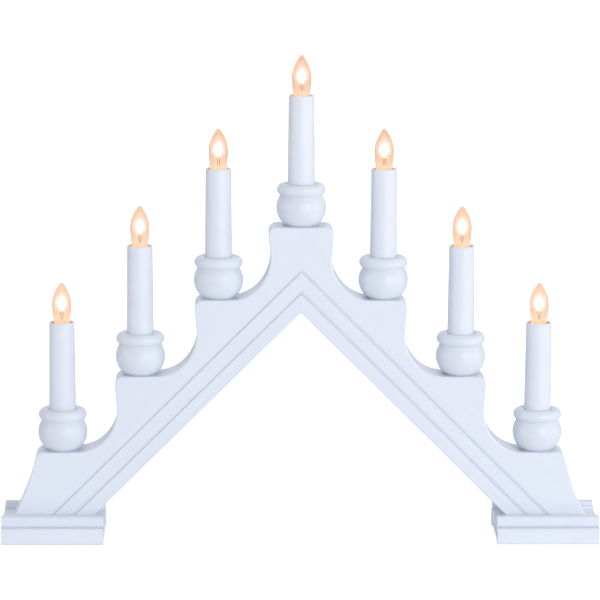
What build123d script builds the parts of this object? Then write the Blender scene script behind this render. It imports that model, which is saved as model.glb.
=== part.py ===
from build123d import *
import math
import os

# Electric candle arch for a window sill: two stepped wooden legs meet in a mitre and stand on moulded feet.
# Seven turned cups carry plastic candle tubes with small screw-in candle bulbs, wired in series.
# The frame: millimetres, +X to the right, +Y to the back, +Z up, origin on the ground in the middle.

# Steps and candles
side_candles = 3
last_seat_height = 63.0
first_drop = 51.8
step_drop = 54.9
first_pitch = 58.2
step_pitch = 55.4

# Leg boards
leg_thickness = 28.0
mitre_height = 60.7
centre_reach = 21.6
upper_reach = 15.3
lower_reach = 16.4
side_flare = 1.9
seat_corner_radius = 6.0
scoop_width = 28.0
scoop_height = 30.9
seat_inner_margin = 1.5
outer_top_reach = 18.3
outer_waist_reach = 24.3
outer_waist_share = 0.532
outer_base_reach = 35.4
edge_ease = 0.7
groove_width = 2.4
groove_depth = 1.3
lower_groove_offset = 9.6
upper_groove_offset = 20.5

# Wiring channel in the back of each leg, its cover strip and the pins
channel_stand = 5.5
channel_reach = 2.0
lead_bore_radius = 3.5
strip_lap = 5.0
strip_thickness = 2.5
strip_gap = 0.15
pin_radius = 0.6
pin_length = 9.0
pin_head_radius = 1.5
pin_head_height = 0.6
pins_per_strip = 3
pin_end_margin = 15.0

# Dowels across the mitre
dowel_radius = 3.0
dowel_length = 24.0
dowel_end_gap = 0.5
upper_dowel_drop = 17.6
lower_dowel_rise = 8.6

# Feet
foot_inner_overlap = 9.4
foot_outer_overlap = 7.6
foot_depth = 62.0
foot_height = 18.9
fascia_height = 11.4
fascia_ease = 0.8
quirk_inset = 5.5
bead_inset = 4.5
bead_curve_height = 2.9
rim_ease = 0.8
trough_depth = 2.2
trough_width = 5.35
trough_slope = 1.2
housing_depth = 4.0
housing_gap = 0.15
relief_depth = 2.7
bearing_strip = 8.0

# Foot screws
screw_radius = 1.9
screw_length = 30.0
screw_tip_length = 4.0
screw_head_radius = 3.8
screw_head_height = 2.8
screw_head_recess = 0.3
screw_front_shift = 6.0
inner_screw_inset = 9.5
outer_screw_inset = 17.0
fastener_gap = 0.05

# Turned cups
cup_height = 29.6
cup_base_radius = 11.1
cup_bowl_radius = 17.4
cup_bowl_height = 10.9
cup_groove_radius = 14.65
cup_ring_height = 8.0
cup_ring_radius = 17.1
cup_ring_crest_radius = 12.1
tenon_radius = 6.0
tenon_length = 7.0
tenon_gap = 0.1
tenon_end_gap = 0.4

# Candle tubes
tube_height = 91.9
tube_top_radius = 8.95
tube_base_radius = 9.65
tube_seat_depth = 14.0
tube_gap = 0.12
tube_rim_ease = 0.5
mouth_wall = 1.05
ledge_width = 1.1
mouth_depth = 24.0

# Lamp holders
holder_gap = 0.08
holder_floor = 6.0
cap_stand = 1.55
shell_wall = 0.35
shell_gap = 0.06
shell_floor_gap = 3.0
thread_gap = 0.2
shell_flange_width = 1.0
shell_flange_height = 0.4
tag_width = 1.8
tag_foot_height = 0.5
tag_slot_gap = 0.1
contact_radius = 2.6
contact_height = 0.9
contact_stem_radius = 0.8

# Candle bulbs
# The envelope's outline is a table of shares: of its largest radius, then of its length above the cap.
bulb_length = 31.85
bulb_radius = 6.75
envelope_shares = [(0.8, 0.055), (0.852, 0.124), (0.956, 0.3), (1, 0.457), (0.8, 0.749), (0.17, 0.981)]
glass_wall = 0.55
neck_depth = 3.5
neck_rise = 0.3
cap_rest_gap = 0.15
cap_length = 13.5
cap_radius = 4.75
cap_wall = 0.32
cap_gap = 0.05
insulator_height = 1.7
insulator_radius = 2.3
cap_contact_radius = 1.7
cap_contact_height = 0.8
stem_height = 6.5
stem_neck_radius = 0.9
support_radius = 0.22
support_spread = 1.8
support_height = 11.0
filament_radius = 0.2
filament_height = 21.5

# Wiring
wire_radius = 0.7
wire_gap = 0.05
lead_offset = 1.7
lane_shift = 2.5
wire_bend_radius = 4.0
back_lane = 4.0
lane_entry_length = 10.7
lane_entry_radius = 20.0
apex_rise = 6.5
apex_half_width = 20.0
apex_entry_radius = 25.0
inlet_bend_radius = 3.0
inlet_wire_gap = 0.1

# Lead inlet bush in the right strip
bush_inset = 18.0
bush_bore_radius = 2.6
bush_wall = 0.8
bush_gap = 0.05
bush_channel_gap = 0.6
bush_flange_width = 1.8
bush_flange_height = 1.3
bush_inner_length = 1.5

# One overrun serves every cut
overrun = 5.0

# Heights and places that follow from the sizes above
diagonal = math.sqrt(2)
front = -leg_thickness / 2
back = leg_thickness / 2
base_height = foot_height - housing_depth
centre_seat_height = last_seat_height + first_drop + step_drop * (side_candles - 1)
arch_inner_height = centre_seat_height - mitre_height
leg_inner_x = arch_inner_height - base_height
side_places = [
    (first_pitch + level * step_pitch, centre_seat_height - first_drop - level * step_drop)
    for level in range(side_candles)
]
right_places = [(0, centre_seat_height)] + side_places
all_places = [(-x, seat) for x, seat in reversed(side_places)] + right_places
step_reaches = [centre_reach, upper_reach] + [lower_reach] * (side_candles - 2)
last_x, last_seat = right_places[-1]
leg_outer_x = last_x + outer_base_reach
foot_start = leg_inner_x - foot_inner_overlap
foot_end = leg_outer_x + foot_outer_overlap
screw_places = [leg_inner_x + inner_screw_inset, leg_outer_x - outer_screw_inset]
outer_waist_height = base_height + (last_seat - base_height) * outer_waist_share
bush_place = last_x - bush_inset
bush_neck_radius = bush_bore_radius + bush_wall
bush_flange_radius = bush_neck_radius + bush_flange_width
channel_offset = (base_height + channel_stand + last_x - arch_inner_height) / diagonal
half_channel = bush_neck_radius + bush_channel_gap
half_strip = half_channel + strip_lap
dowel_y = (front - channel_reach) / 2
dowel_heights = [centre_seat_height - upper_dowel_drop, arch_inner_height + lower_dowel_rise]
screw_bottom = relief_depth + screw_head_recess
screw_top = screw_bottom + screw_length
cup_seat = cup_height - tube_seat_depth
mouth_radius = tube_top_radius - mouth_wall
tube_bore_radius = mouth_radius - ledge_width
ledge_height = tube_height - mouth_depth
floor_height = ledge_height + holder_floor
shell_radius = cap_radius + thread_gap + shell_wall
shell_bottom = floor_height + shell_floor_gap
tag_bottom = ledge_height - tag_foot_height
lead_top = tag_bottom - wire_gap
contact_top = floor_height + contact_height
cap_bottom = contact_top + cap_rest_gap
cap_top = cap_bottom + cap_length
holder_height = cap_top - cap_stand
neck_radius = cap_radius - cap_wall - cap_gap


def revolved(points):
    """Solid of revolution about Z from an outline of (radius, height) points."""
    outline = make_face(Polyline(*points, close=True))
    return revolve(Plane.XZ * outline, Axis.Z)


def rod(radius, start, end):
    """Round bar from one point to another."""
    run = Vector(*end) - Vector(*start)
    return extrude(Plane(origin=start, z_dir=run) * Circle(radius), run.length)


def block(low, high):
    """Box between two corners."""
    size = [b - a for a, b in zip(low, high)]
    middle = [(a + b) / 2 for a, b in zip(low, high)]
    return Pos(*middle) * Box(*size)


def band_height(x, offset):
    """Height of a line along the leg at a square distance from the inner edge of the arch."""
    return arch_inner_height + offset * diagonal - abs(x)


def band(low, high, near, far):
    """Bar along the right leg between two square distances from the inner edge, past both its ends."""
    reach = leg_outer_x + overrun
    corners = [
        (-overrun, band_height(0, low) + overrun),
        (-overrun, band_height(0, high) + overrun),
        (reach, band_height(reach, high)),
        (reach, band_height(reach, low)),
    ]
    outline = Plane.XZ * make_face(Polyline(*corners, close=True))
    return extrude(Pos(0, near, 0) * outline, far - near, dir=(0, 1, 0))


def groove(offset):
    """V-groove along the front of the right leg, with a steep inner wall and a long slope outside it."""
    along = Vector(1, 0, -1).normalized()
    across = Vector(1, 0, 1).normalized() * groove_width
    inward = Vector(0, groove_depth, 0)
    start = Vector(0, front, band_height(0, offset)) - along * overrun * 2
    triangle = Polyline(start + inward, start + across * 2 - inward, start - inward, close=True)
    return extrude(make_face(triangle), leg_outer_x * diagonal + overrun * 4, dir=along)


def leg_outline():
    """Front outline of the right leg: from the mitre down the steps, then back along the inner edge."""
    edges = []
    corners = []
    point = (0, centre_seat_height)
    steps = zip(step_reaches, right_places[:-1], right_places[1:])
    for reach, (x, seat), (next_x, next_seat) in steps:
        waist = x + reach
        middle = waist + scoop_width
        landing = min(next_x - cup_base_radius - seat_inner_margin, middle)
        share = (landing - middle) / scoop_width
        rise = scoop_height * math.sqrt(1 - share ** 2)
        corner = (waist + side_flare, seat)
        turn = 180 - math.degrees(math.acos(share))
        scoop = EllipticalCenterArc(
            (middle, next_seat + rise), scoop_width, scoop_height, start_angle=180, arc_size=turn
        )
        edges += [Line(point, corner), Line(corner, (waist, next_seat + rise)), scoop]
        corners.append(corner)
        point = (landing, next_seat)
    corner = (last_x + outer_top_reach, last_seat)
    waist = (last_x + outer_waist_reach, outer_waist_height)
    base = (leg_outer_x, base_height)
    inner = (leg_inner_x, base_height)
    apex = (0, arch_inner_height)
    edges += [Line(point, corner), ThreePointArc(corner, waist, base), Line(base, inner), Line(inner, apex)]
    edges.append(Line(apex, (0, centre_seat_height)))
    corners.append(corner)
    face = make_face(edges)
    sharp = [v for v in face.vertices() for c in corners if (Vector(*c) - Vector(*v)).length < edge_ease]
    return Plane.XZ * fillet(sharp, seat_corner_radius)


def right_leg():
    body = extrude(leg_outline(), back, both=True, dir=(0, 1, 0))
    rims = [
        edge for edge in body.edges()
        if abs(abs(edge.center().Y) - back) < edge_ease
        and edge.bounding_box().max.X > edge_ease
        and edge.center().Z > base_height + edge_ease
    ]
    body = chamfer(rims, edge_ease)
    body -= groove(lower_groove_offset)
    body -= groove(upper_groove_offset)
    half_rebate = half_strip + strip_gap
    body -= band(channel_offset - half_channel, channel_offset + half_channel, -channel_reach, back + overrun)
    body -= band(channel_offset - half_rebate, channel_offset + half_rebate, back - strip_thickness, back + overrun)
    for x, seat in right_places:
        mortise = seat - tenon_length - tenon_end_gap
        body -= rod(lead_bore_radius, (x, 0, band_height(x, channel_offset)), (x, 0, seat + overrun))
        body -= rod(tenon_radius + tenon_gap, (x, 0, mortise), (x, 0, seat + overrun))
    hole_end = dowel_length / 2 + dowel_end_gap
    for height in dowel_heights:
        body -= rod(dowel_radius + fastener_gap, (-overrun, dowel_y, height), (hole_end, dowel_y, height))
    for x in screw_places:
        start = (x, -screw_front_shift, base_height - overrun)
        body -= rod(screw_radius + fastener_gap, start, (x, -screw_front_shift, screw_top + dowel_end_gap))
    for x, z in pin_places():
        hole_bottom = back - pin_length - dowel_end_gap
        body -= rod(pin_radius + fastener_gap, (x, hole_bottom, z), (x, back + overrun, z))
    return body


def dowel(height):
    half = dowel_length / 2
    return rod(dowel_radius, (-half, dowel_y, height), (half, dowel_y, height))


def right_foot():
    """Length of moulding: a bead and quirk over a fascia, a trough and housing on top, a relief underneath."""
    fascia = foot_depth / 2
    bead = fascia - bead_inset
    bead_start = (bead, fascia_height + bead_curve_height)
    quirk = (fascia - quirk_inset, fascia_height)
    inner_strip = fascia - bearing_strip
    housing = leg_thickness / 2 + housing_gap
    lip = housing + trough_width
    trough = foot_height - trough_depth
    section = [
        Polyline(
            quirk, (fascia - fascia_ease, fascia_height), (fascia, fascia_height - fascia_ease),
            (fascia, fascia_ease), (fascia - fascia_ease, 0), (inner_strip, 0), (inner_strip, relief_depth),
            (0, relief_depth), (0, base_height), (housing, base_height), (housing, trough),
            (lip - trough_slope, trough), (lip, foot_height), (bead - rim_ease, foot_height),
            (bead, foot_height - rim_ease), bead_start
        ),
        TangentArc(bead_start, quirk, tangent=(0, -1)),
    ]
    half = Plane.YZ * make_face(section)
    whole = half + mirror(half, Plane.XZ)
    body = extrude(Pos(foot_start, 0, 0) * whole, foot_end - foot_start, dir=(1, 0, 0))
    sink = revolved([
        (0, relief_depth - overrun), (screw_head_radius + fastener_gap, relief_depth - overrun),
        (screw_head_radius + fastener_gap, screw_bottom),
        (screw_radius + fastener_gap, screw_bottom + screw_head_height),
        (screw_radius + fastener_gap, foot_height), (0, foot_height)
    ])
    for x in screw_places:
        body -= Pos(x, -screw_front_shift, 0) * sink
    return body


def foot_screw(x):
    """Countersunk screw driven up through the foot into the leg."""
    turned = revolved([
        (0, screw_bottom), (screw_head_radius, screw_bottom), (screw_radius, screw_bottom + screw_head_height),
        (screw_radius, screw_top - screw_tip_length), (0, screw_top)
    ])
    return Pos(x, -screw_front_shift, 0) * turned


def pin_places():
    """Places (x, z) of the right strip's pins, staggered along its two edges."""
    places = []
    run = (leg_inner_x - pin_end_margin * 2) / (pins_per_strip - 1)
    for index in range(pins_per_strip):
        side = 1 if index % 2 else -1
        x = pin_end_margin + run * index
        offset = channel_offset + side * (half_strip - strip_lap / 2)
        places.append((x, band_height(x, offset)))
    return places


def right_strip():
    """Cover strip of the right leg's channel, mitred at the centre line and cut level at the foot."""
    body = band(channel_offset - half_strip, channel_offset + half_strip, back - strip_thickness, back)
    low = (strip_gap, back - leg_thickness, base_height + strip_gap)
    body &= block(low, (leg_outer_x + overrun, back + overrun, centre_seat_height))
    for x, z in pin_places():
        body -= rod(pin_radius + fastener_gap, (x, 0, z), (x, back + overrun, z))
    return body


def strip_pin(place):
    """Flat-headed pin through the strip into the leg."""
    x, z = place
    shank = rod(pin_radius, (x, back - pin_length, z), (x, back, z))
    return shank + rod(pin_head_radius, (x, back, z), (x, back + pin_head_height, z))


def inlet_bush():
    """Bush for the mains lead, with a rounded outer flange and a neck through the strip."""
    inner = -strip_thickness - bush_inner_length
    ease = bush_flange_height / 2
    turned = revolved([
        (bush_bore_radius, inner), (bush_neck_radius, inner), (bush_neck_radius, 0), (bush_flange_radius, 0),
        (bush_flange_radius, ease), (bush_flange_radius - ease, bush_flange_height),
        (bush_bore_radius + ease, bush_flange_height), (bush_bore_radius, ease)
    ])
    return Pos(bush_place, back, band_height(bush_place, channel_offset)) * Rot(-90, 0, 0) * turned


def tube_radius(height):
    """Outer radius of the tapered candle tube at a height above its seat."""
    share = (height - cup_seat) / (tube_height - cup_seat)
    return tube_base_radius + (tube_top_radius - tube_base_radius) * share


def cup():
    """Turned cup: a bowl, a V-shaped quirk and a round ring, bored for the tube, with a tenon underneath."""
    bore = tube_radius(cup_seat) + tube_gap
    mouth = tube_radius(cup_height) + tube_gap
    lip = (mouth + cup_ring_crest_radius) / 2
    groove_height = cup_height - cup_ring_height
    quirk = (cup_groove_radius, groove_height)
    crest = (cup_ring_crest_radius, cup_height)
    base = (cup_base_radius, 0)
    section = [
        Polyline(
            crest, (lip, cup_height), (mouth, cup_height - (lip - mouth) / 2), (bore, cup_seat),
            (lead_bore_radius, cup_seat), (lead_bore_radius, -tenon_length), (tenon_radius, -tenon_length),
            (tenon_radius, 0), base
        ),
        ThreePointArc(base, (cup_bowl_radius, cup_bowl_height), quirk),
        ThreePointArc(quirk, (cup_ring_radius, (groove_height + cup_height) / 2), crest),
    ]
    return revolve(Plane.XZ * make_face(section), Axis.Z)


def candle_tube():
    """Tapered candle tube with a wide mouth for the lamp holder over a narrower bore for the leads."""
    rim = tube_height - tube_rim_ease
    return revolved([
        (tube_bore_radius, cup_seat), (tube_base_radius, cup_seat), (tube_radius(rim), rim),
        (tube_top_radius - tube_rim_ease, tube_height), (mouth_radius + tube_rim_ease, tube_height),
        (mouth_radius, rim), (mouth_radius, ledge_height), (tube_bore_radius, ledge_height)
    ])


def lamp_holder():
    """Insulating insert on the tube's ledge, with a socket and two ways through its floor."""
    outer = mouth_radius - holder_gap
    socket = shell_radius + shell_gap
    body = revolved([
        (0, ledge_height), (outer, ledge_height), (outer, holder_height), (socket, holder_height),
        (socket, floor_height), (0, floor_height)
    ])
    stem = contact_stem_radius + fastener_gap
    body -= rod(stem, (lead_offset, 0, ledge_height - overrun), (lead_offset, 0, floor_height + overrun))
    half_tag = tag_width / 2 + tag_slot_gap
    low = (-socket, -half_tag, ledge_height - overrun)
    body -= block(low, (shell_wall + tag_slot_gap - shell_radius, half_tag, floor_height + overrun))
    return body


def lamp_shell():
    """Brass socket shell with a flange on top and a solder tag that passes through the holder's floor."""
    bore = shell_radius - shell_wall
    flange = shell_radius + shell_flange_width
    flange_top = holder_height + shell_flange_height
    body = revolved([
        (bore, shell_bottom), (shell_radius, shell_bottom), (shell_radius, holder_height),
        (flange, holder_height), (flange, flange_top), (bore, flange_top)
    ])
    half_tag = tag_width / 2
    strip = block((-shell_radius, -half_tag, tag_bottom), (-bore, half_tag, shell_bottom + shell_wall))
    body += strip & rod(shell_radius, (0, 0, tag_bottom), (0, 0, holder_height))
    foot_edge = wire_radius - lead_offset
    body += block((-bore - shell_wall / 2, -half_tag, tag_bottom), (foot_edge, half_tag, ledge_height))
    return body


def lamp_contact():
    """Brass centre contact riveted through the holder's floor."""
    stem = rod(contact_stem_radius, (lead_offset, 0, tag_bottom), (lead_offset, 0, contact_top))
    return stem + rod(contact_radius, (0, 0, floor_height), (0, 0, contact_top))


def bulb_cap():
    """Screw cap: solder contact, insulating cone and a barrel that takes the neck of the glass."""
    cone_start = cap_bottom + cap_contact_height
    barrel_start = cone_start + insulator_height
    inner = cap_radius - cap_wall
    return revolved([
        (0, cap_bottom), (cap_contact_radius, cap_bottom), (cap_contact_radius, cone_start),
        (insulator_radius, cone_start), (cap_radius, barrel_start), (cap_radius, cap_top), (inner, cap_top),
        (inner, barrel_start), (0, barrel_start)
    ])


def envelope(inset):
    """Flame-shaped outline of the bulb from its neck to its tip, or the same one a wall further in."""
    neck = (neck_radius - inset, cap_top + neck_rise)
    throat, mouth, side, belly, ogive, point = [
        (bulb_radius * across - inset, cap_top + bulb_length * up) for across, up in envelope_shares
    ]
    tip = (0, cap_top + bulb_length - inset)
    return [
        ThreePointArc(neck, throat, mouth), ThreePointArc(mouth, side, belly), ThreePointArc(belly, ogive, point),
        Line(point, tip)
    ]


def bulb_glass():
    """Thin glass envelope with a short neck that goes down inside the cap's collar."""
    inner = neck_radius - glass_wall
    neck_bottom = cap_top - neck_depth
    neck_top = cap_top + neck_rise
    tip = cap_top + bulb_length
    ends = [
        Line((0, tip), (0, tip - glass_wall)),
        Polyline((inner, neck_top), (inner, neck_bottom), (neck_radius, neck_bottom), (neck_radius, neck_top)),
    ]
    return revolve(Plane.XZ * make_face(envelope(0) + envelope(glass_wall) + ends), Axis.Z)


def bulb_filament():
    """Flared glass stem in the neck, with two support wires and a hairpin of filament on their ends."""
    flare = neck_radius - glass_wall - cap_gap
    stem_bottom = cap_top - neck_depth
    stem_top = cap_top + stem_height
    body = revolved([
        (0, stem_bottom), (flare, stem_bottom), (stem_neck_radius, cap_top), (stem_neck_radius, stem_top),
        (0, stem_top)
    ])
    for side in (-1, 1):
        root = (side * stem_neck_radius / 2, 0, stem_top - stem_neck_radius)
        end = (side * support_spread, 0, cap_top + support_height)
        body += rod(support_radius, root, end)
        body += rod(filament_radius, end, (0, 0, cap_top + filament_height))
    return body


def wire(points, radii):
    """Insulated wire along straight runs joined by tangent arcs."""
    path = FilletPolyline(*points, radius=radii)
    section = Plane(origin=path @ 0, z_dir=path % 0) * Circle(wire_radius)
    return sweep(section, path=path)


def lane(x):
    """Height at which the wires run in the channel, near its lower wall."""
    return band_height(x, channel_offset - lane_shift)


def link_wire(level):
    """Wire on the right leg from one candle's outer lead to the next candle's inner lead."""
    (x, seat), (next_x, next_seat) = right_places[level:level + 2]
    start = x + lead_offset
    end = next_x - lead_offset
    points = [(start, 0, seat + lead_top), (start, 0, lane(start)), (end, 0, lane(end)), (end, 0, next_seat + lead_top)]
    return wire(points, [wire_bend_radius, wire_bend_radius])


def outer_lead():
    """First points of the wire at the outer lead of the last right candle, up to the rear lane."""
    start = last_x + lead_offset
    entry = start - lane_entry_length
    return [(start, 0, last_seat + lead_top), (start, 0, lane(start)), (entry, back_lane, lane(entry))]


def inlet_end(side):
    """Last points of a wire that turns towards the bush, beside the other wire along the channel."""
    x = bush_place + side * (wire_radius + inlet_wire_gap)
    z = band_height(x, channel_offset)
    end = back - strip_thickness - bush_inner_length - wire_gap
    return [(x, back_lane, z), (x, end, z)]


def supply_wire():
    points = outer_lead() + inlet_end(1)
    return wire(points, [wire_bend_radius, lane_entry_radius, inlet_bend_radius])


def return_wire():
    """Wire from the first candle up the left leg, over the apex and down the right leg to the bush."""
    left = [(-x, y, z) for x, y, z in outer_lead()]
    over = [
        (-apex_half_width, back_lane, lane(apex_half_width)), (0, back_lane, lane(0) + apex_rise),
        (apex_half_width, back_lane, lane(apex_half_width))
    ]
    points = left + over + inlet_end(-1)
    radii = [
        wire_bend_radius, lane_entry_radius, apex_entry_radius, wire_bend_radius, apex_entry_radius,
        inlet_bend_radius
    ]
    return wire(points, radii)


def mirrored(solid):
    return mirror(solid, Plane.YZ)


def group(solids):
    """Several separate solids in one node."""
    return Compound(children=[solid for item in solids for solid in item.solids()])


def both_sides(solids):
    return group(solids + [mirrored(solid) for solid in solids])


def at_candles(solid):
    """Copies of one candle's piece at every seat, from the left end to the right end."""
    return [Pos(x, 0, seat) * solid for x, seat in all_places]


leg = right_leg()
foot = right_foot()
strip = right_strip()
bush_z = band_height(bush_place, channel_offset)
bush_hole = rod(bush_neck_radius + bush_gap, (bush_place, 0, bush_z), (bush_place, back + overrun, bush_z))
nodes = {
    "left_leg": mirrored(leg),
    "right_leg": leg,
    "left_foot": mirrored(foot),
    "right_foot": foot,
    "apex_dowels": group([dowel(height) for height in dowel_heights]),
    "foot_screws": both_sides([foot_screw(x) for x in screw_places]),
    "left_channel_strip": mirrored(strip),
    "right_channel_strip": strip - bush_hole,
    "strip_pins": both_sides([strip_pin(place) for place in pin_places()]),
    "lead_inlet_bush": inlet_bush(),
    "lamp_shells": group(at_candles(lamp_shell())),
    "lamp_contacts": group(at_candles(lamp_contact())),
    "link_wires": both_sides([link_wire(level) for level in range(side_candles)]),
    "supply_wire": supply_wire(),
    "return_wire": return_wire(),
}
candle_pieces = {
    "cup": cup(),
    "candle_tube": candle_tube(),
    "lamp_holder": lamp_holder(),
    "bulb_cap": bulb_cap(),
    "bulb_glass": bulb_glass(),
    "bulb_filament": bulb_filament(),
}
for name, piece in candle_pieces.items():
    for number, copy in enumerate(at_candles(piece), 1):
        nodes[f"{name}_{number}"] = copy

os.makedirs("parts", exist_ok=True)
for name, solid in nodes.items():
    export_step(solid, f"parts/{name}.step")
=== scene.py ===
import math

import bmesh
import bpy
from mathutils import Matrix, Vector


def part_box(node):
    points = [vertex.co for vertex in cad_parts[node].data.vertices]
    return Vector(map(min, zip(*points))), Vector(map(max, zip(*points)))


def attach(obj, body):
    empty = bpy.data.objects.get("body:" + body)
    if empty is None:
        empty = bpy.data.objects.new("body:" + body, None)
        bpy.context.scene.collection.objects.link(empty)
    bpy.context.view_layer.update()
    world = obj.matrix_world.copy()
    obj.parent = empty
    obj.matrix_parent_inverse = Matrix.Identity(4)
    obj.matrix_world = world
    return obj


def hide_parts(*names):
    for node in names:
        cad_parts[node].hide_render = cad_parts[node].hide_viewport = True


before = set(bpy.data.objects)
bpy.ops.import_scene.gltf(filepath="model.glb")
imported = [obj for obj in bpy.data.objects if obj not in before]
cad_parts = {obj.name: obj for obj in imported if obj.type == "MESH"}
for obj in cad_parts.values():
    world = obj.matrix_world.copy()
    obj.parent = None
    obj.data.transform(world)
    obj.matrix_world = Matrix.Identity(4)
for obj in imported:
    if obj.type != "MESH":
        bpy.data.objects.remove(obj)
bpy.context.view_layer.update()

MM = 0.001
CANDLES = range(1, 8)

# The camera, as fitted to the photograph
CAMERA_PLACE = Vector((-43.95, -2260.33, 593.76)) * MM
CAMERA_TARGET = Vector((-0.55, 0.0, 170.67)) * MM
CAMERA_ROLL = math.radians(0.23)
CAMERA_LENS = 195.05
CAMERA_REACH = 100.0
SENSOR_WIDTH = 36.0

# The sRGB standard's own curve
SRGB_TOE = 0.04045
SRGB_TOE_SLOPE = 12.92
SRGB_OFFSET = 0.055
SRGB_POWER = 2.4


def linear(colour, alpha=1.0):
    """A colour written in sRGB, as every tint here is, made the linear one that a socket takes."""
    channels = []
    for value in colour:
        if value <= SRGB_TOE:
            channels.append(value / SRGB_TOE_SLOPE)
        else:
            channels.append(((value + SRGB_OFFSET) / (1.0 + SRGB_OFFSET)) ** SRGB_POWER)
    return (*channels, alpha)


class Tree:
    """A small helper that adds nodes to a tree and links them by name."""

    def __init__(self, tree):
        self.tree = tree

    def add(self, kind, inputs=None, **settings):
        """A new node. Its settings come first, because some of them change its sockets."""
        node = self.tree.nodes.new(kind)
        for name, value in settings.items():
            setattr(node, name, value)
        for name, value in (inputs or {}).items():
            self.feed(node.inputs[name], value)
        return node

    def feed(self, socket, value):
        if isinstance(value, bpy.types.NodeSocket):
            self.tree.links.new(value, socket)
        else:
            socket.default_value = value

    def group(self, node_tree, inputs):
        return self.add("ShaderNodeGroup", inputs, node_tree=node_tree).outputs

    def noise(self, vector, scale, detail=3.0, roughness=0.55):
        """Soft noise, with its scale in waves to the metre."""
        inputs = {"Vector": vector, "Scale": scale, "Detail": detail, "Roughness": roughness}
        return self.add("ShaderNodeTexNoise", inputs).outputs["Fac"]

    def math(self, operation, first, second=0.0):
        return self.add("ShaderNodeMath", {0: first, 1: second}, operation=operation).outputs[0]

    def blend(self, factor, first, second):
        node = self.add("ShaderNodeMix", data_type="RGBA")
        self.feed(node.inputs["Factor"], factor)
        self.feed(node.inputs["A"], first)
        self.feed(node.inputs["B"], second)
        return node.outputs["Result"]

    def spread(self, value, low, high, to_low=0.0, to_high=1.0):
        """The value's range from low to high, spread from to_low to to_high and cut off there."""
        inputs = {"Value": value, "From Min": low, "From Max": high, "To Min": to_low, "To Max": to_high}
        return self.add("ShaderNodeMapRange", inputs).outputs["Result"]

    def bump(self, height, strength, distance):
        inputs = {"Height": height, "Strength": strength, "Distance": distance}
        return self.add("ShaderNodeBump", inputs).outputs["Normal"]


def new_group(name, inputs, outputs):
    """An empty shader node group with named inputs and outputs."""
    group = bpy.data.node_groups.new(name, "ShaderNodeTree")
    for label, kind, value in inputs:
        socket = group.interface.new_socket(label, in_out="INPUT", socket_type=kind)
        if value is not None:
            socket.default_value = value
    for label, kind in outputs:
        group.interface.new_socket(label, in_out="OUTPUT", socket_type=kind)
    tree = Tree(group)
    return group, tree, tree.add("NodeGroupInput").outputs, tree.add("NodeGroupOutput").inputs


# What each finish's group puts out
FINISH_OUTPUTS = [
    ("Color", "NodeSocketColor"), ("Roughness", "NodeSocketFloat"), ("Height", "NodeSocketFloat")]

# Cosine between the bevelled and the true normal, where the edge mask begins and where it is full
EDGE_TURN = (0.995, 0.80)
EDGE_PATCHES = (0.42, 0.68)
EDGE_SAMPLES = 4


def edge_mask_group():
    """White along sharp outer edges, where a finish wears thin, broken up by noise."""
    inputs = [
        ("Vector", "NodeSocketVector", None),
        ("Width", "NodeSocketFloat", 1.0 * MM),
        ("Break-up Scale", "NodeSocketFloat", 60.0)]
    group, tree, given, result = new_group("edge_mask", inputs, [("Mask", "NodeSocketFloat")])
    bevel = tree.add("ShaderNodeBevel", {"Radius": given["Width"]}, samples=EDGE_SAMPLES).outputs["Normal"]
    normal = tree.add("ShaderNodeNewGeometry").outputs["Normal"]
    dot = tree.add("ShaderNodeVectorMath", {0: bevel, 1: normal}, operation="DOT_PRODUCT")
    edge = tree.spread(dot.outputs["Value"], *EDGE_TURN)
    patches = tree.spread(tree.noise(given["Vector"], given["Break-up Scale"], detail=4.0), *EDGE_PATCHES)
    tree.feed(result["Mask"], tree.math("MULTIPLY", edge, patches))
    return group


# Sprayed paint. A share says how far a tint or a relief goes at most, and a roughness is added to the
# finish's own.
PAINT_CLOUD_SCALE = 22.0
PAINT_CLOUD_RANGE = (0.25, 0.75)
PAINT_CLOUD_TINT = (0.885, 0.90, 0.94)
PAINT_CLOUD_SHARE = 0.35
PAINT_CLOUD_ROUGHNESS = 0.08
PAINT_FIBRE_SCALE = 260.0
PAINT_FIBRE_RANGE = (0.35, 0.75)
PAINT_RING_SCALE = 60.0
PAINT_RING_RANGE = (0.35, 0.7)
PAINT_GRAIN_TINT = (0.80, 0.82, 0.86)
PAINT_GRAIN_SHARE = 0.35
PAINT_PEEL_SCALE = 900.0
PAINT_PEEL_SHARE = 0.25
PAINT_EDGE = {"Width": 0.9 * MM, "Break-up Scale": 70.0}
PAINT_EDGE_TINT = (0.80, 0.79, 0.77)
PAINT_EDGE_ROUGHNESS = 0.15
# Painted shade: where surfaces close in, in grooves, corners and under the cups, the paint is darkened
# towards this tint
PAINTED_SHADE_TINT = (0.60, 0.63, 0.69)
PAINTED_SHADE_RANGE = (0.75, 0.30)
PAINTED_SHADE_SAMPLES = 6


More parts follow.
